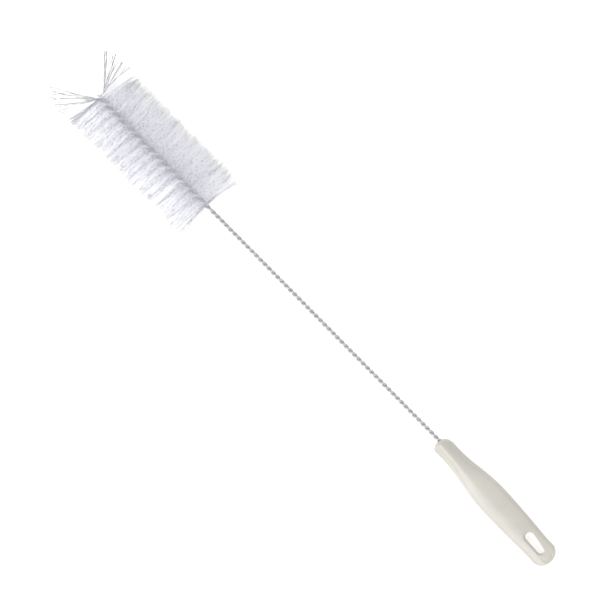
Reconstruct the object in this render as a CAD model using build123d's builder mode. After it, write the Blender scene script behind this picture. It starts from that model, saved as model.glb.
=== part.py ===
from build123d import *
from math import atan2, cos, radians, sin, tan
import os

# A twisted-in-wire bottle brush, in millimetres, lying as it comes to rest: on the last bristles of
# its head and on the end of its handle. +X runs from the head to the handle, and +Z is up.
# Distances along the brush are measured on the stem's axis, from the tip of the folded wire.

# Lengths along the stem
head_length = 92.4
bare_stem_length = 194.1
handle_length = 97.5
socket_depth = 18.0

# Wire
wire_diameter = 1.5
wire_sides = 6
steps_per_turn = 6
head_turns = 7.75
stem_pitch = 7.16
leg_clearance = 0.05
grip_gap = 0.7
eye_radius = 1.55
untwist_length = 8.0

# Bristles
tip_radius = 25.3
strand_width = 0.24
strand_spacing = 0.33
splay_angles = (0, -18, 6, -6, 18)

# Tuft in the eye of the wire
tuft_core_radius = 0.66
tuft_core_length = 2.8
tuft_strand_length = 27.5
tuft_reach = 23.15
tuft_rings = ((0.0, 1), (0.24, 5), (0.48, 10))
tuft_side_angle = 45.0
tuft_spread = 22.0

# Handle
handle_lean = 1.9
neck_offset = 0.45
neck_width = 11.5
neck_thickness = 10.2
paddle_width = 18.5
paddle_thickness = 8.0
end_width = 15.6
end_thickness = 5.4
flare_start = 12.0
flare_end = 45.0
taper_start = 52.0
neck_bevel = 5.2
paddle_bevel = 1.75
neck_crown = 0.15
paddle_crown = 1.1
crown_flat_share = 0.4
neck_rim = 4.0
paddle_rim = 1.4
handle_stations = 10
socket_clearance = 0.04

# Hanging slot and rounded end
slot_wide_radius = 2.8
slot_narrow_radius = 2.1
slot_wide_at = 78.2
slot_narrow_at = 88.6
slot_wide_offset = 1.1
slot_narrow_offset = 0.2
slot_edge = 0.6
end_cap_length = 7.2
end_cap_half_width = 8.25
end_edge = 0.6
dome_radius = 6.6
dome_steps = 4
dome_offset = 0.75

# Worked-out sizes
stem_end = head_length + bare_stem_length
wire_radius = wire_diameter / 2
leg_radius = wire_radius * 1.07
head_start = eye_radius + leg_radius
head_pitch = (head_length - head_start) / head_turns
grip_radius = leg_radius + grip_gap / 2
stem_radius = leg_radius + leg_clearance / 2

# The brush rests on the rim of its head and on the handle's end
handle_foot = stem_end + handle_length - end_edge
rest_slope = atan2(tip_radius - end_thickness / 2, handle_foot - head_length)
stem_axis = Vector(cos(rest_slope), 0, -sin(rest_slope))
up = Vector(sin(rest_slope), 0, cos(rest_slope))
side = Vector(0, 1, 0)
head_rim_height = tip_radius * cos(rest_slope)
reach_behind = (stem_end + handle_length) * cos(rest_slope)
wire_tip = Vector((tuft_reach - reach_behind) / 2, 0, head_rim_height + head_length * sin(rest_slope))


def on_axis(distance):
    return wire_tip + stem_axis * distance


def around(angle):
    """The direction square to the stem at an angle from the side, in degrees."""
    return side * cos(radians(angle)) + up * sin(radians(angle))


def smooth(value, start, end):
    """Runs from 0 at start to 1 at end, with no corner at either."""
    share = min(max((value - start) / (end - start), 0), 1)
    return share * share * (3 - 2 * share)


def between(first, last, share):
    return first + (last - first) * share


def head_twist(distance):
    """The left-handed turn of the wire in the head, in degrees from the eye."""
    return -360 * (distance - head_start) / head_pitch


def leg_points(first_angle):
    """Centres of one leg of the wire, from the eye into the handle."""
    distance, angle, points = head_start, first_angle, []
    while distance < stem_end + socket_depth:
        untwisted = smooth(distance, head_length, head_length + untwist_length)
        opened = smooth(distance, head_start, head_start + head_pitch / 4)
        radius = between(between(eye_radius, grip_radius, opened), stem_radius, untwisted)
        points.append((on_axis(distance) + around(angle) * radius, around(angle)))
        distance += between(head_pitch, stem_pitch, untwisted) / steps_per_turn
        angle -= 360 / steps_per_turn
    return points


def eye_points():
    """Centres of the half turn at the tip, between the two legs."""
    middle = on_axis(head_start)
    for angle in (60, 30, 0, -30, -60):
        outward = up * sin(radians(angle)) - stem_axis * cos(radians(angle))
        yield middle + outward * eye_radius, outward


# One wire, folded at the tip, its two legs twisted round each other
route = leg_points(90)[::-1] + list(eye_points()) + leg_points(-90)
centres = [centre for centre, outward in route]
before = [centres[0] * 2 - centres[1]] + centres[:-1]
after = centres[1:] + [centres[-1] * 2 - centres[-2]]
with BuildPart() as stem_wire:
    for (centre, outward), last, following in zip(route, before, after):
        with BuildSketch(Plane(origin=centre, x_dir=outward, z_dir=following - last)):
            RegularPolygon(leg_radius, wire_sides)
    loft(ruled=True, clean=False)
stem_wire.part.label = "stem_wire"


def strand_plane(number):
    """The end of one bristle, facing along it to the other end."""
    distance = head_length - strand_spacing * (number + 0.5)
    direction = around(head_twist(distance) + splay_angles[number % len(splay_angles)])
    return Plane(origin=on_axis(distance) - direction * tip_radius, x_dir=stem_axis, z_dir=direction)


# Straight bristles, each gripped at its middle, their row turning with the wire
strand_count = int((head_length - head_start - tuft_core_radius) / strand_spacing) - 1
with BuildPart() as head_bristles:
    with BuildSketch(*[strand_plane(number) for number in range(strand_count)]):
        RegularPolygon(strand_width / 1.5, 3)
    extrude(amount=2 * tip_radius)
head_bristles.part.label = "head_bristles"


def tuft_planes(hand):
    """Faces along the bristles that leave one end of the bundle in the eye."""
    middle = on_axis(head_start) + side * hand * (tuft_core_length / 2 - tuft_rings[-1][0])
    main = side * hand * cos(radians(tuft_side_angle)) - stem_axis * sin(radians(tuft_side_angle))
    across_main = main.cross(up)
    for radius, count in tuft_rings:
        for number in range(count):
            angle = radians(360 * (number + 0.5) / count)
            offset = (across_main * cos(angle) + up * sin(angle)) * radius
            spread = tan(radians(tuft_spread)) / tuft_rings[-1][0]
            yield Plane(origin=middle + offset, x_dir=up, z_dir=main + offset * spread)


# The tuft: a bundle through the eye, splayed forward on both sides
with BuildPart() as tip_tuft:
    with BuildSketch(Plane(origin=on_axis(head_start), x_dir=up, z_dir=side)):
        Circle(tuft_core_radius)
    extrude(amount=tuft_core_length / 2, both=True)
    with BuildSketch(*tuft_planes(1), *tuft_planes(-1)):
        RegularPolygon(strand_width / 1.5, 3)
    extrude(amount=tuft_strand_length)
tip_tuft.part.label = "tip_tuft"

# The handle's own axis leans a little to one side of the stem's
handle_axis = stem_axis * cos(radians(handle_lean)) - side * sin(radians(handle_lean))
handle_side = side * cos(radians(handle_lean)) + stem_axis * sin(radians(handle_lean))
mouth = on_axis(stem_end) - side * neck_offset
plan = Plane(origin=mouth - up * neck_thickness, x_dir=handle_axis, z_dir=up)
dome_centre = mouth + handle_axis * dome_radius - handle_side * dome_offset


def handle_corners(along):
    """Half sizes of one section: its crown, the arris between face and bevel, and its rim."""
    flare = smooth(along, flare_start, flare_end)
    taper = smooth(along, taper_start, handle_length)
    neck_share = (1 - min(along / flare_end, 1)) ** 3
    width = between(between(neck_width, paddle_width, flare), end_width, taper) / 2
    crown = between(neck_thickness, end_thickness, smooth(along, 0, handle_length)) / 2
    face = width - between(paddle_bevel, neck_bevel, neck_share)
    arris = crown * (1 - between(paddle_crown, neck_crown, neck_share) * 2 / paddle_thickness)
    rim = between(paddle_rim, neck_rim, neck_share) / 2
    return width, crown, face * crown_flat_share, face, arris, rim


slot_rim_height = handle_corners((slot_wide_at + slot_narrow_at) / 2)[1] - slot_edge
with BuildPart() as handle:
    for station in range(handle_stations):
        along = (handle_length + end_edge) * station / (handle_stations - 1)
        width, crown, flat, face, arris, rim = handle_corners(along)
        with BuildSketch(Plane(mouth + handle_axis * along, x_dir=handle_side, z_dir=handle_axis)):
            with BuildLine():
                Polyline((-face, arris), (-flat, crown), (flat, crown), (face, arris))
                Polyline((face, arris), (width, rim), (width, -rim), (face, -arris))
                Polyline((face, -arris), (flat, -crown), (-flat, -crown), (-face, -arris))
                Polyline((-face, -arris), (-width, -rim), (-width, rim), (-face, arris))
            make_face()
    loft()
    # The neck's end is domed, in a few bevelled steps
    with BuildSketch(Plane(origin=dome_centre, x_dir=handle_axis, z_dir=up)):
        Rectangle(dome_radius + 1, neck_width, align=(Align.MAX, Align.MIN))
        RegularPolygon(dome_radius, dome_steps * 4, mode=Mode.SUBTRACT)
    revolve(axis=Axis(dome_centre, handle_axis), mode=Mode.SUBTRACT)
    # The end is rounded in plan, and its edges are bevelled
    with BuildSketch(plan):
        with Locations((handle_length - end_cap_length, 0)):
            Rectangle(handle_length, 2 * paddle_width, align=(Align.MAX, Align.CENTER))
            Ellipse(end_cap_length, end_cap_half_width)
    extrude(amount=2 * neck_thickness, mode=Mode.INTERSECT)
    end_edges = handle.edges().filter_by(GeomType.BSPLINE).filter_by_position(
        Axis(mouth, handle_axis), handle_length - end_cap_length, handle_length + end_edge
    )
    chamfer(end_edges.filter_by(lambda edge: edge.length > 2 * paddle_rim), end_edge)
    # Hanging slot, wider towards the neck, cut from each face with a bevelled rim
    for outward, hand in ((up, 1), (-up, -1)):
        with BuildSketch(Plane(mouth + outward * slot_rim_height, handle_axis, outward)) as slot:
            with Locations((slot_wide_at, hand * slot_wide_offset)):
                Circle(slot_wide_radius)
            with Locations((slot_narrow_at, hand * slot_narrow_offset)):
                Circle(slot_narrow_radius)
            make_hull()
        extrude(slot.sketch, amount=-slot_rim_height, mode=Mode.SUBTRACT)
        extrude(slot.sketch, amount=2 * slot_edge, taper=-45, mode=Mode.SUBTRACT)
    # Socket that holds the twisted wire
    with BuildSketch(Plane(origin=on_axis(stem_end) - stem_axis, z_dir=stem_axis)):
        Circle(stem_radius + leg_radius + socket_clearance)
    extrude(amount=socket_depth + 2, mode=Mode.SUBTRACT)
handle.part.label = "handle"

os.makedirs("parts", exist_ok=True)
for piece in (stem_wire, head_bristles, tip_tuft, handle):
    export_step(piece.part, f"parts/{piece.part.label}.step")
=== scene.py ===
"""A twisted-in-wire bottle brush, shown in full detail round the solids of the frame.

Lengths are in millimetres until a mesh is made of them, and in metres for the handle's voxels and
the studio. Angles that pass between functions are in degrees. Distances along the brush are
measured on the stem's axis, from the tip of the folded wire.
"""

import math
import random

import bpy
import numpy as np
from mathutils import Matrix, Vector


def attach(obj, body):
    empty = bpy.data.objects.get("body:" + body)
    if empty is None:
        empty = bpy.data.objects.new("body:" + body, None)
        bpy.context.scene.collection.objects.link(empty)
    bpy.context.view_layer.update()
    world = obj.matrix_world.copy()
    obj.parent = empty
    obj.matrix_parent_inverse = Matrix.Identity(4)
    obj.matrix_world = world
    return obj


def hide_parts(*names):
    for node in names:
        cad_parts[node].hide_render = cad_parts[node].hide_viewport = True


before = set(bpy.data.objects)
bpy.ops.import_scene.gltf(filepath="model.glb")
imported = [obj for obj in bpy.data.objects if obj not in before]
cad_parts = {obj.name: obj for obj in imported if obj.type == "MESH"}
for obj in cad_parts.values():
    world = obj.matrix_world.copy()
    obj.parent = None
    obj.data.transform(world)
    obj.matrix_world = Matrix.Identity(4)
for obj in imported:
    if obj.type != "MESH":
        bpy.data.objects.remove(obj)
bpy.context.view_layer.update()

MM = 0.001
rng = random.Random(7)

# Sizes repeated from the solids
HEAD = 92.4
STEM = 194.1
HANDLE = 97.5
SOCKET = 18.0
HEAD_TURNS = 7.75
STEM_PITCH = 7.16
UNTWIST = 8.0
WIRE_R = 0.75
LEG_R = WIRE_R * 1.07
EYE_R = 1.55
GRIP_GAP = 0.7
TIP_R = 25.3
TUFT_REACH = 23.15
HANDLE_LEAN = math.radians(1.9)
NECK_OFFSET = 0.45
NECK_WIDTH, PADDLE_WIDTH, END_WIDTH = 11.5, 18.5, 15.6
NECK_BEVEL, PADDLE_BEVEL = 5.2, 1.75
NECK_CROWN, PADDLE_CROWN = 0.15, 1.1
CROWN_FLAT_SHARE = 0.4
PADDLE_THICKNESS, END_THICKNESS = 8.0, 5.4
END_EDGE = 0.6
FLARE_START, FLARE_END = 12.0, 45.0
TAPER_START = 52.0

# The stem's axis as the brush lies at rest, and the directions square to it
STEM_END = HEAD + STEM
HEAD_START = EYE_R + LEG_R
HEAD_PITCH = (HEAD - HEAD_START) / HEAD_TURNS
SLOPE = math.atan2(TIP_R - END_THICKNESS / 2, STEM_END + HANDLE - END_EDGE - HEAD)
AXIS = Vector((math.cos(SLOPE), 0, -math.sin(SLOPE)))
UP = Vector((math.sin(SLOPE), 0, math.cos(SLOPE)))
SIDE = Vector((0, 1, 0))
TIP = Vector(
    (
        (TUFT_REACH - (STEM_END + HANDLE) * math.cos(SLOPE)) / 2,
        0,
        TIP_R * math.cos(SLOPE) + HEAD * math.sin(SLOPE),
    )
)


def on_axis(distance):
    return TIP + AXIS * distance


def around(angle):
    """The direction square to the stem at an angle from the side."""
    a = math.radians(angle)
    return SIDE * math.cos(a) + UP * math.sin(a)


def smooth(value, start, end):
    """Runs from 0 at start to 1 at end, with no corner at either."""
    s = min(max((value - start) / (end - start), 0), 1)
    return s * s * (3 - 2 * s)


def lerp(a, b, s):
    return a + (b - a) * s


def twist(distance):
    """The left-handed turn of the wire in the head."""
    return -360 * (distance - HEAD_START) / HEAD_PITCH


# Most of a noise lies between these values
NOISE_LOW, NOISE_HIGH = 0.3, 0.7

# Colour sockets of a Mix node, by number because its socket names repeat
MIX_FACTOR, MIX_A, MIX_B, MIX_RESULT = 0, 6, 7, 2


def material(name):
    m = bpy.data.materials.new(name)
    m.use_nodes = True
    nt = m.node_tree
    return m, nt, nt.nodes["Principled BSDF"]


def coordinates(nt):
    return nt.nodes.new("ShaderNodeTexCoord").outputs["Object"]


def strand_value(nt):
    """The value that make_mesh gives to each point."""
    n = nt.nodes.new("ShaderNodeAttribute")
    n.attribute_name = "strand"
    return n.outputs["Fac"]


def noise(nt, coords, scale, detail):
    n = nt.nodes.new("ShaderNodeTexNoise")
    n.inputs["Scale"].default_value = scale
    n.inputs["Detail"].default_value = detail
    nt.links.new(coords, n.inputs["Vector"])
    return n.outputs["Fac"]


def ramp(nt, value, stops):
    r = nt.nodes.new("ShaderNodeValToRGB")
    while len(r.color_ramp.elements) < len(stops):
        r.color_ramp.elements.new(0.5)
    for e, (pos, colour) in zip(r.color_ramp.elements, stops):
        e.position = pos
        e.color = (*colour, 1)
    nt.links.new(value, r.inputs["Fac"])
    return r.outputs["Color"]


def mottled(nt, value, dark, light):
    """A colour that runs from dark to light with a noise."""
    return ramp(nt, value, ((NOISE_LOW, dark), (NOISE_HIGH, light)))


def roughen(nt, bsdf, value, low, high):
    """Roughness that runs from low to high with a noise."""
    n = nt.nodes.new("ShaderNodeMapRange")
    n.inputs["From Min"].default_value = NOISE_LOW
    n.inputs["From Max"].default_value = NOISE_HIGH
    n.inputs["To Min"].default_value = low
    n.inputs["To Max"].default_value = high
    nt.links.new(value, n.inputs["Value"])
    nt.links.new(n.outputs["Result"], bsdf.inputs["Roughness"])


def bump(nt, bsdf, height, strength, distance):
    b = nt.nodes.new("ShaderNodeBump")
    b.inputs["Strength"].default_value = strength
    b.inputs["Distance"].default_value = distance
    nt.links.new(height, b.inputs["Height"])
    nt.links.new(b.outputs["Normal"], bsdf.inputs["Normal"])


def plastic():
    """Warm off-white moulded plastic."""
    m, nt, bsdf = material("moulded_plastic")
    co = coordinates(nt)
    cloud = noise(nt, co, scale=60, detail=3)
    colour = mottled(nt, cloud, dark=(0.55, 0.533, 0.482), light=(0.585, 0.568, 0.515))
    nt.links.new(colour, bsdf.inputs["Base Color"])
    roughen(nt, bsdf, noise(nt, co, scale=220, detail=4), low=0.24, high=0.33)
    bump(nt, bsdf, noise(nt, co, scale=2600, detail=2), strength=0.05, distance=0.0002)
    return m


def steel():
    """Drawn, galvanised wire. Where it is buried in the bristles its colour is painted paler:
    painted light that lifts the shade of the filaments round it.
    """
    m, nt, bsdf = material("drawn_wire")
    co = coordinates(nt)
    mottle = noise(nt, co, scale=500, detail=3)
    bare = mottled(nt, mottle, dark=(0.51, 0.51, 0.515), light=(0.60, 0.60, 0.61))
    # Painted light: the paler tone of the wire inside the head stands in for light reaching it
    # through the nylon
    painted_pale = mottled(nt, mottle, dark=(0.78, 0.78, 0.80), light=(0.88, 0.88, 0.90))
    painted_light_mask = strand_value(nt)
    mix = nt.nodes.new("ShaderNodeMix")
    mix.data_type = "RGBA"
    nt.links.new(painted_light_mask, mix.inputs[MIX_FACTOR])
    nt.links.new(bare, mix.inputs[MIX_A])
    nt.links.new(painted_pale, mix.inputs[MIX_B])
    nt.links.new(mix.outputs[MIX_RESULT], bsdf.inputs["Base Color"])
    bsdf.inputs["Metallic"].default_value = 0.45
    roughen(nt, bsdf, noise(nt, co, scale=900, detail=4), low=0.42, high=0.55)
    bump(nt, bsdf, noise(nt, co, scale=3000, detail=2), strength=0.08, distance=0.0001)
    return m


def nylon(name, stops, clear=0.0, painted_glow=0.0):
    """Filaments, their tone taken from the stops by each strand's own value; their emission is a
    painted glow for light through the nylon.
    """
    m, nt, bsdf = material(name)
    nt.links.new(ramp(nt, strand_value(nt), stops), bsdf.inputs["Base Color"])
    co = coordinates(nt)
    roughen(nt, bsdf, noise(nt, co, scale=700, detail=2), low=0.22, high=0.36)
    bsdf.inputs["Transmission Weight"].default_value = clear
    # Painted glow: the emission brightens the filaments as light passing through the translucent
    # nylon would
    bsdf.inputs["Emission Color"].default_value = (0.93, 0.93, 1.0, 1)
    bsdf.inputs["Emission Strength"].default_value = painted_glow
    return m


def make_mesh(name, verts, faces, mat, values):
    """A new object, with a value at each of its points for strand_value."""
    me = bpy.data.meshes.new(name)
    me.from_pydata([tuple(v) for v in verts], [], faces)
    me.validate()
    me.materials.append(mat)
    me.shade_smooth()
    layer = me.attributes.new("strand", "FLOAT", "POINT")
    layer.data.foreach_set("value", values)
    o = bpy.data.objects.new(name, me)
    bpy.context.scene.collection.objects.link(o)
    return o


# A direction that no wire or strand starts along
ASKEW = (0.3, 0.5, 0.8)


def tube(points, radius, sides):
    """Rings along a line of points, with no twist from one to the next, closed at both ends."""
    p = np.array([tuple(q) for q in points])
    t = np.gradient(p, axis=0)
    t /= np.linalg.norm(t, axis=1)[:, None]
    u = np.cross(t[0], ASKEW)
    u /= np.linalg.norm(u)
    verts, faces = [], []
    for k in range(len(p)):
        u = u - t[k] * np.dot(u, t[k])
        u /= np.linalg.norm(u)
        w = np.cross(t[k], u)
        for j in range(sides):
            a = 2 * math.pi * j / sides
            verts.append(p[k] + (u * math.cos(a) + w * math.sin(a)) * radius)
        if k:
            b, c = (k - 1) * sides, k * sides
            for j in range(sides):
                following = (j + 1) % sides
                faces.append((b + j, b + following, c + following, c + j))
    faces.append(tuple(range(sides))[::-1])
    last = (len(p) - 1) * sides
    faces.append(tuple(range(last, last + sides)))
    return verts, faces


# The folded wire. Each pair is where a change along it starts and ends: its legs open from the
# eye to the grip and close on leaving the head, where its twist changes too and its painted
# light, a paler colour that lifts the bristles' shade, gives way to its bare tone.
WIRE_SIDES = 12
LEG_STEPS = 18
EYE_STEP = 15
OPENING = (HEAD_START, HEAD_START + HEAD_PITCH / 4)
UNTWISTING = (HEAD, HEAD + UNTWIST)
GRIP_R = LEG_R + GRIP_GAP / 2
CLOSED_R = WIRE_R + 0.03
CLOSING = (HEAD - 6, HEAD + 1)
EMERGING = (HEAD - 6, HEAD + 2)
WIRE_END = STEM_END + SOCKET - 0.3


def leg(first_angle):
    """One leg of the folded wire, from the eye into the handle."""
    distance, angle, points = HEAD_START, first_angle, []
    while distance < WIRE_END:
        opened = lerp(EYE_R, GRIP_R, smooth(distance, *OPENING))
        radius = lerp(opened, CLOSED_R, smooth(distance, *CLOSING))
        points.append(on_axis(distance) + around(angle) * radius)
        pitch = lerp(HEAD_PITCH, STEM_PITCH, smooth(distance, *UNTWISTING))
        distance += pitch / LEG_STEPS
        angle -= 360 / LEG_STEPS
    return points


def wire():
    """Two legs that turn round each other, joined round the eye at the tip."""
    middle = on_axis(HEAD_START)
    arc = []
    for angle in range(90 - EYE_STEP, -90, -EYE_STEP):
        a = math.radians(angle)
        arc.append(middle + (UP * math.sin(a) - AXIS * math.cos(a)) * EYE_R)
    route = leg(90)[::-1] + arc + leg(-90)
    verts, faces = tube([p * MM for p in route], WIRE_R * MM, WIRE_SIDES)
    # Painted light: 1 where the wire lies in the head, where its colour is painted paler to lift
    # the bristles' shade
    painted_light_mask = []
    for p in route:
        painted_light_mask += [1 - smooth((p - TIP).dot(AXIS), *EMERGING)] * WIRE_SIDES
    o = make_mesh("twisted_wire", verts, faces, steel(), painted_light_mask)
    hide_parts("stem_wire")
    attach(o, "root")


# No strand goes past these, just inside the ends of the solids
FRONT_LIMIT = -202.8
SIDE_LIMIT = 26.1
LOW_LIMIT = 0.15

FILAMENT_STEPS = 5
FILAMENT_ELBOW = 0.3


def inside(point):
    """A point drawn back to the space that the solids take up."""
    y = max(-SIDE_LIMIT, min(SIDE_LIMIT, point.y))
    return Vector((max(point.x, FRONT_LIMIT), y, max(point.z, LOW_LIMIT)))


class Strands:
    """Many filaments in one mesh."""

    def __init__(self):
        self.verts, self.faces, self.values = [], [], []

    def add(self, points, radius, shade, sides=3, fade=0.0):
        """A strand of one shade, or one that fades towards 1 at its first point."""
        v, f = tube([inside(p) * MM for p in points], radius * MM, sides)
        base = len(self.verts)
        self.verts += v
        self.faces += [tuple(i + base for i in face) for face in f]
        for k in range(len(points)):
            away = 1 - k / (len(points) - 1)
            self.values += [shade + (1 - shade) * fade * away] * sides

    def build(self, name, mat):
        return make_mesh(name, self.verts, self.faces, mat, self.values)


def filament(root, gripped, turn, tilt, reach, waver):
    """Half a bristle: it leaves the wire as it is gripped, and bends to its own turn and tilt."""
    direction = around(turn) * math.cos(math.radians(tilt)) + AXIS * math.sin(math.radians(tilt))
    sag = around(turn + 90) * rng.gauss(0, waver) + AXIS * rng.gauss(0, waver)
    elbow = root + around(gripped) * reach * FILAMENT_ELBOW + sag
    line = []
    for k in range(FILAMENT_STEPS + 1):
        s = k / FILAMENT_STEPS
        line.append(root.lerp(elbow, s).lerp(elbow.lerp(root + direction * reach, s), s))
    return line


# Bristles of the head. Each pair is what its draw takes: the mean and the spread for rng.gauss,
# or the two ends for rng.uniform.
BRISTLES = 2100
FIRST_BRISTLE = HEAD_START + 0.9
LAST_BRISTLE = HEAD - 0.4
BRISTLE_R = (0.052, 0.074)
BRISTLE_SHADE = (0.15, 1)
BRISTLE_WAVER = 0.7
GRIPPED_TURN = (0, 16)
FREE_TURN = (0, 52)
HALF_TURN = (0, 8)
ROOT_SHIFT = (-0.25, 0.25)
END_ROWS = 3
MIDDLE_LEAN, REAR_LEAN, FRONT_LEAN = (0, 5), (4, 6), (-3, 4)
LEAN_SHARE = 0.6
HALF_TILT = (0, 3)
MOST_TILT = 14
SWEPT_TILT, SWEPT_LENGTH = 12, 11
TRIM, TRIM_SPREAD, TRIM_POWER = 0.3, 3.0, 1.6

# Half bristles: a first row, seen edge-on at one side, and a few strays by the stem
EXTRA_WAVER = 0.5
FIRST_ROW = 75
FIRST_ROW_R = 0.065
# The first row's grey tone is painted shade, for its filaments stacked edge-on
FIRST_ROW_SHADE = (0.03, 0.14)
FIRST_ROW_AT = (0.2, 1.0)
FIRST_ROW_ASIDE = 0.6
FIRST_ROW_TURN = (0, 20)
FIRST_ROW_TILT = (-5, 4)
FIRST_ROW_REACH = (20, 24.8)
STRAYS = 26
STRAY_R = 0.085
STRAY_SHADE = (0.0, 0.06)
STRAY_AT = (0, 1.5)
STRAY_TURN = (0, 15)
STRAY_TILT = (0, 11)
STRAY_REACH = (22, 25)

# Tones by shade: the first row's grey is painted shade, for the dark of its filaments stacked
# edge-on, and the strays are greyer than the rest too
HEAD_TONES = ((0.0, (0.30, 0.30, 0.34)), (0.14, (0.88, 0.89, 0.95)), (1.0, (0.98, 0.98, 1.0)))


def bristle(distance):
    """A bristle from end to end, its two halves bent at the wire."""
    gripped = twist(distance) + rng.gauss(*GRIPPED_TURN)
    angle = gripped + rng.gauss(*FREE_TURN)
    root = on_axis(distance) + around(angle + 90) * rng.uniform(*ROOT_SHIFT)
    # In the rows at both ends of the head, one half of each bristle tends to lean outwards
    lean = rng.gauss(*MIDDLE_LEAN)
    if distance > HEAD - END_ROWS:
        lean = rng.gauss(*REAR_LEAN)
    if distance < FIRST_BRISTLE + END_ROWS:
        lean = rng.gauss(*FRONT_LEAN)
    halves = []
    for half_turn, share in ((0, LEAN_SHARE), (180, -LEAN_SHARE)):
        turn = angle + half_turn + rng.gauss(*HALF_TURN)
        tilt = max(-MOST_TILT, min(MOST_TILT, lean * share + rng.gauss(*HALF_TILT)))
        # The first bristles lean back from the tuft where they point to the side
        early = max(0, 1 - (distance - FIRST_BRISTLE) / SWEPT_LENGTH)
        swept = max(0, around(turn).dot(SIDE)) * early
        tilt += SWEPT_TILT * swept
        trimmed = TRIM_SPREAD * rng.random() ** TRIM_POWER
        reach = min(TIP_R / math.cos(math.radians(tilt)) - TRIM - trimmed, TIP_R)
        halves.append(filament(root, gripped + half_turn, turn, tilt, reach, BRISTLE_WAVER))
    return halves[0][::-1] + halves[1][1:]


def head():
    """Bristles all along the head, in rows that turn with the wire."""
    strands = Strands()
    length = LAST_BRISTLE - FIRST_BRISTLE
    for k in range(BRISTLES):
        line = bristle(FIRST_BRISTLE + length * (k + rng.random()) / BRISTLES)
        strands.add(line, rng.uniform(*BRISTLE_R), rng.uniform(*BRISTLE_SHADE))
    for k in range(FIRST_ROW):
        root = on_axis(HEAD_START + rng.uniform(*FIRST_ROW_AT)) - SIDE * FIRST_ROW_ASIDE
        turn = 180 + rng.gauss(*FIRST_ROW_TURN)
        tilt = rng.gauss(*FIRST_ROW_TILT)
        half = filament(root, turn, turn, tilt, rng.uniform(*FIRST_ROW_REACH), EXTRA_WAVER)
        strands.add(half, FIRST_ROW_R, rng.uniform(*FIRST_ROW_SHADE))
    for k in range(STRAYS):
        root = on_axis(HEAD - rng.uniform(*STRAY_AT))
        turn = rng.choice((0, 180)) + rng.gauss(*STRAY_TURN)
        tilt = rng.uniform(*STRAY_TILT)
        half = filament(root, turn, turn, tilt, rng.uniform(*STRAY_REACH), EXTRA_WAVER)
        strands.add(half, STRAY_R, rng.uniform(*STRAY_SHADE))
    # The head's bristles get a painted glow, their emission standing in for light through the
    # packed nylon
    o = strands.build("bristle_filaments", nylon("nylon_head", HEAD_TONES, clear=0.82, painted_glow=0.06))
    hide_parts("head_bristles")
    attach(o, "root")


# The tuft's two bunches: the hand of each, how far from the middle it is gathered, and how far
# forward of the eye and to the side its strands end, for its first, middle and last strand
BUNCHES = (
    (1, 3.6, (19.4, 10.6, -2.6), (20.6, 25.0, 25.4)),
    (-1, 1.8, (25.3, 19.8, 9.4), (14.8, 20.8, 24.9)),
)
BUNCH_STRANDS = 32
BUNCH_SHARES = (0, 0.5, 1)
TUFT_STEPS = 6
TUFT_SIDES = 4
TUFT_R = (0.1, 0.125)
TUFT_MOST_SHADE = 0.5
# The fade to pale roots is partly painted light, lifting the shade where the strands crowd at the
# eye
TUFT_FADE = 0.95

# The eye holds a tight bundle, which opens a little where the bunches leave it
BUNDLE_R = 0.45
BUNDLE_OPENING = 1.3
BUNDLE_ASIDE = 0.2
GATHERED = (0.7, 1.1)

# Spreads of the strands in a bunch
SHARE_SPREAD = 0.018
AHEAD_SPREAD, ASIDE_SPREAD, UP_SPREAD = 0.6, 0.5, 5
CURL_SPREAD, SAG_SPREAD = 0.5, 0.4

# Tones by shade: dark strands that are pale at their roots, and painted paler there still,
# painted light that lifts the shade where the strands crowd at the eye
TUFT_TONES = ((0.0, (0.08, 0.08, 0.085)), (1.0, (0.93, 0.93, 0.95)))


def bent(start, end, sag):
    """A strand from start to end, bowed by sag, a vector."""
    line = []
    for k in range(TUFT_STEPS + 1):
        s = k / TUFT_STEPS
        line.append(start.lerp(end, s) + sag * (4 * s * (1 - s)))
    return line


def tuft():
    """Strands held in the wire's eye, splayed forward to both sides."""
    strands = Strands()
    middle = on_axis(HEAD_START)
    for hand, gathered, forward, sideways in BUNCHES:
        for k in range(BUNCH_STRANDS):
            share = min(max((k + 0.5) / BUNCH_STRANDS + rng.gauss(0, SHARE_SPREAD), 0), 1)
            ahead = np.interp(share, BUNCH_SHARES, forward) + rng.gauss(0, AHEAD_SPREAD)
            aside = np.interp(share, BUNCH_SHARES, sideways) + rng.gauss(0, ASIDE_SPREAD)
            ring = rng.uniform(0, 2 * math.pi)
            offset = AXIS * math.cos(ring) + UP * math.sin(ring)
            offset = offset * BUNDLE_R * math.sqrt(rng.random())
            outward = SIDE * hand * gathered * rng.uniform(*GATHERED)
            root = middle + outward + offset * BUNDLE_OPENING
            tip = middle - AXIS * ahead + SIDE * hand * aside + UP * rng.gauss(0, UP_SPREAD)
            curl = UP.cross(tip - root).normalized() * rng.gauss(0, CURL_SPREAD)
            curl = curl + UP * rng.gauss(0, SAG_SPREAD)
            line = [middle - SIDE * hand * BUNDLE_ASIDE + offset] + bent(root, tip, curl)
            radius = rng.uniform(*TUFT_R)
            strands.add(line, radius, TUFT_MOST_SHADE * rng.random(), TUFT_SIDES, TUFT_FADE)
    o = strands.build("tuft_filaments", nylon("nylon_tuft", TUFT_TONES))
    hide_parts("tip_tuft")
    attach(o, "root")


# The handle's own axis leans a little to one side of the stem's
HANDLE_AXIS = AXIS * math.cos(HANDLE_LEAN) - SIDE * math.sin(HANDLE_LEAN)
HANDLE_SIDE = SIDE * math.cos(HANDLE_LEAN) + AXIS * math.sin(HANDLE_LEAN)
MOUTH = on_axis(STEM_END) - SIDE * NECK_OFFSET

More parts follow.
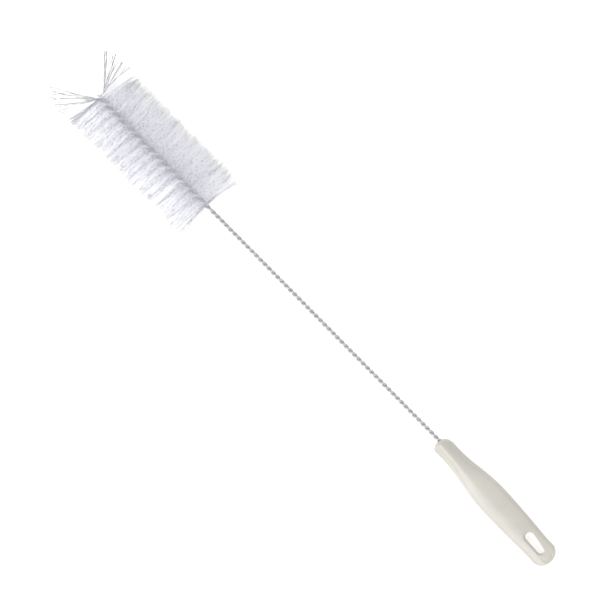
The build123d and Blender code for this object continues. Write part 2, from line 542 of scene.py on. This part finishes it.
# A shallow crescent crease beyond the slot, on the upper face
CREASE_START, CREASE_END = 92, 94.5
CREASE_ALONG, CREASE_ACROSS = 92.9, 0.9
CREASE_RADIUS = 3.3
CREASE_WIDTH, CREASE_DEPTH = 0.4, 0.3
UPPER_FACE = 1

# Voxels in metres, fine enough for the bevels
HANDLE_VOXEL = 0.00030
HANDLE_SOFTENING = 6


def crowned(point):
    """A point of the handle, with its face bowed evenly where the solid's has three flats."""
    off = point / MM - MOUTH
    along, across, height = off.dot(HANDLE_AXIS), off.dot(HANDLE_SIDE), off.dot(UP)
    neck = (1 - min(max(along, 0) / FLARE_END, 1)) ** 3
    flare = smooth(along, FLARE_START, FLARE_END)
    taper = smooth(along, TAPER_START, HANDLE)
    width = lerp(lerp(NECK_WIDTH, PADDLE_WIDTH, flare), END_WIDTH, taper) / 2
    face = width - lerp(PADDLE_BEVEL, NECK_BEVEL, neck)
    fall = lerp(PADDLE_CROWN, NECK_CROWN, neck) * 2 / PADDLE_THICKNESS
    share = abs(across) / face
    if share < 1:
        flats = 1 - fall * max(0, share - CROWN_FLAT_SHARE) / (1 - CROWN_FLAT_SHARE)
        height *= (1 - fall * share * share) / flats
    if height > UPPER_FACE and along > CREASE_START:
        off_arc = math.hypot(along - CREASE_ALONG, across - CREASE_ACROSS) - CREASE_RADIUS
        depth = CREASE_DEPTH * math.exp(-((off_arc / CREASE_WIDTH) ** 2))
        height -= depth * smooth(along, CREASE_START, CREASE_END)
    return (MOUTH + HANDLE_AXIS * along + HANDLE_SIDE * across + UP * height) * MM


def handle():
    """The handle's own solid, remeshed finely so that every moulded edge is softly rounded."""
    o = bpy.data.objects.new("moulded_handle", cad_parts["handle"].data.copy())
    bpy.context.scene.collection.objects.link(o)
    remesh = o.modifiers.new("remesh", "REMESH")
    remesh.mode = "VOXEL"
    remesh.voxel_size = HANDLE_VOXEL
    soften = o.modifiers.new("soften", "SMOOTH")
    soften.factor = 0.5
    soften.iterations = HANDLE_SOFTENING
    dg = bpy.context.evaluated_depsgraph_get()
    baked = bpy.data.meshes.new_from_object(o.evaluated_get(dg))
    o.modifiers.clear()
    o.data = baked
    baked.name = "moulded_handle"
    for v in baked.vertices:
        v.co = crowned(v.co)
    baked.shade_smooth()
    baked.materials.clear()
    baked.materials.append(plastic())
    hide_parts("handle")
    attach(o, "root")


# The view: square on to the stem but for a small roll about it, from far off. The middle of the
# picture is this far along the stem and beside it.
ROLL = math.radians(8)
TOWARD = UP * math.cos(ROLL) + SIDE * math.sin(ROLL)
CROSS = SIDE * math.cos(ROLL) - UP * math.sin(ROLL)
MIDDLE_ALONG, MIDDLE_BESIDE = 177.1, 0.05
TARGET = (on_axis(MIDDLE_ALONG) - CROSS * MIDDLE_BESIDE) * MM
CAMERA_DISTANCE = 2.6
PICTURE_WIDTH = 0.3628
SENSOR = 36

# The stem runs down to the right, at about 45 degrees in the picture
RIGHT = AXIS * 0.7035 + CROSS * 0.7107
UPWARD = -AXIS * 0.7107 + CROSS * 0.7035

SURROUNDINGS = 0.74
FLOOR_HALF = 4.0
FLOOR_GLOW = 0.45
LAMP_DISTANCE = 1.4


def surroundings(scene):
    world = bpy.data.worlds.new("studio")
    scene.world = world
    world.use_nodes = True
    background = world.node_tree.nodes["Background"]
    background.inputs["Color"].default_value = (1, 1, 1, 1)
    background.inputs["Strength"].default_value = SURROUNDINGS


def ground(scene):
    """A plain, nearly white floor."""
    me = bpy.data.meshes.new("floor")
    s = FLOOR_HALF
    me.from_pydata([(-s, -s, 0), (s, -s, 0), (s, s, 0), (-s, s, 0)], [], [(0, 1, 2, 3)])
    floor = bpy.data.objects.new("floor", me)
    scene.collection.objects.link(floor)
    m, nt, bsdf = material("floor")
    cloud = noise(nt, coordinates(nt), scale=3, detail=2)
    tone = mottled(nt, cloud, dark=(0.93, 0.93, 0.93), light=(0.95, 0.95, 0.95))
    nt.links.new(tone, bsdf.inputs["Base Color"])
    bsdf.inputs["Roughness"].default_value = 0.9
    bsdf.inputs["Emission Color"].default_value = (1, 1, 1, 1)
    bsdf.inputs["Emission Strength"].default_value = FLOOR_GLOW
    me.materials.append(m)


def camera(scene):
    cam = bpy.data.cameras.new("camera")
    cam.sensor_width = SENSOR
    cam.lens = SENSOR * CAMERA_DISTANCE / PICTURE_WIDTH
    cam.clip_start, cam.clip_end = 0.1, 20
    ob = bpy.data.objects.new("camera", cam)
    rot = Matrix((RIGHT, UPWARD, TOWARD)).transposed().to_4x4()
    ob.matrix_world = Matrix.Translation(TARGET + TOWARD * CAMERA_DISTANCE) @ rot
    scene.collection.objects.link(ob)
    scene.camera = ob


def panel(scene, name, direction, size, power):
    """A soft lamp that faces the brush from a direction."""
    lamp = bpy.data.lights.new(name, "AREA")
    lamp.shape = "RECTANGLE"
    lamp.size, lamp.size_y = size
    lamp.energy = power
    ob = bpy.data.objects.new(name, lamp)
    d = direction.normalized()
    ob.location = TARGET + d * LAMP_DISTANCE
    ob.rotation_mode = "QUATERNION"
    ob.rotation_quaternion = d.to_track_quat("Z", "Y")
    scene.collection.objects.link(ob)


def studio():
    scene = bpy.context.scene
    scene.view_settings.view_transform = "Standard"
    surroundings(scene)
    ground(scene)
    camera(scene)
    panel(scene, "key", TOWARD * 0.7 - CROSS * 0.7, size=(1.2, 0.8), power=12)
    panel(scene, "fill", TOWARD * 0.12 + CROSS, size=(1.2, 0.4), power=1.5)


wire()
head()
tuft()
handle()
studio()
